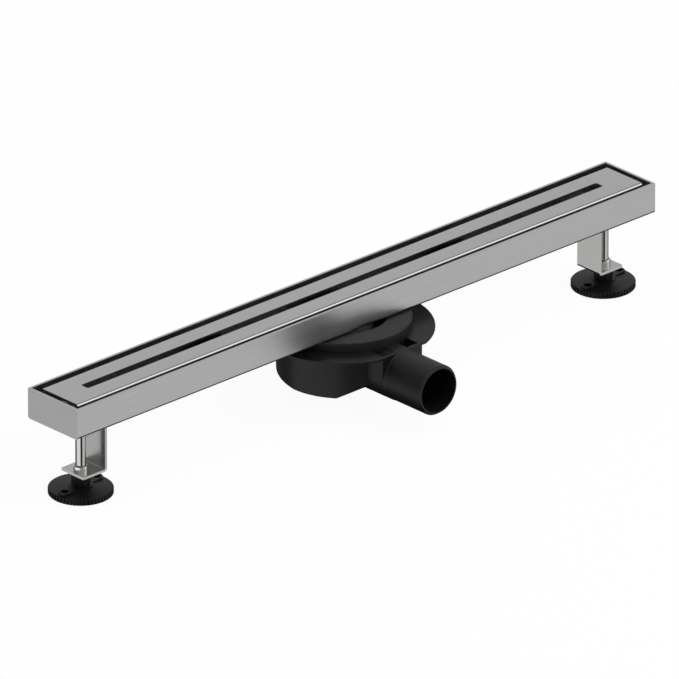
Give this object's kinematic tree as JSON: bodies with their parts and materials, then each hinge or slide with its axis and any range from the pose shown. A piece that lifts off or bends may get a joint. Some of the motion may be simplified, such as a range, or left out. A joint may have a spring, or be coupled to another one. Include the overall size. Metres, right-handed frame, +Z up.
{
  "type": "linear floor drain",
  "caption": "Long steel shower channel with a slotted cover, a low black trap with a side outlet, and levelling feet.",
  "frame": {"origin": "below the middle of the channel and its drain hole, on the plane that the feet stand on", "axes": "+X along the channel to the right, -Y the way the outlet points, +Z up"},
  "size_m": [0.6, 0.1745, 0.0865],
  "materials": {
    "channel_steel": "fine brushed stainless steel",
    "cover_steel": "fine brushed stainless steel",
    "bracket_steel": "bright rolled stainless steel",
    "nut_steel": "bright turned steel",
    "rod_steel": "bright plated steel",
    "trap_plastic": "black moulded plastic, satin",
    "ring_plastic": "black moulded plastic, satin",
    "foot_plastic": "black moulded plastic, satin",
    "insert_plastic": "black moulded plastic, satin",
    "saddle_plastic": "black moulded plastic, satin",
    "seal_rubber": "soft black rubber"
  },
  "bodies": {
    "drain": {"channel_trough": "channel_steel", "end_plate_left": "channel_steel", "end_plate_right": "channel_steel", "drain_spigot": "channel_steel", "slot_cover": "cover_steel", "cover_saddle_left": "saddle_plastic", "cover_saddle_right": "saddle_plastic", "hair_strainer": "insert_plastic", "dip_tube": "insert_plastic", "tube_o_ring": "seal_rubber", "clamp_ring": "ring_plastic", "spigot_seal": "seal_rubber", "trap_body": "trap_plastic", "foot_bracket_left": "bracket_steel", "foot_bracket_right": "bracket_steel", "press_nut_left": "nut_steel", "press_nut_right": "nut_steel"},
    "foot_left": {"foot_base_left": "foot_plastic", "levelling_rod_left": "rod_steel"},
    "foot_right": {"foot_base_right": "foot_plastic", "levelling_rod_right": "rod_steel"}
  },
  "joints": [
    {"name": "left_foot_height", "type": "slide", "parent": "drain", "child": "foot_left", "axis": [0, 0, -1], "range_m": [0, 0.032]},
    {"name": "right_foot_height", "type": "slide", "parent": "drain", "child": "foot_right", "axis": [0, 0, -1], "range_m": [0, 0.032]}
  ]
}
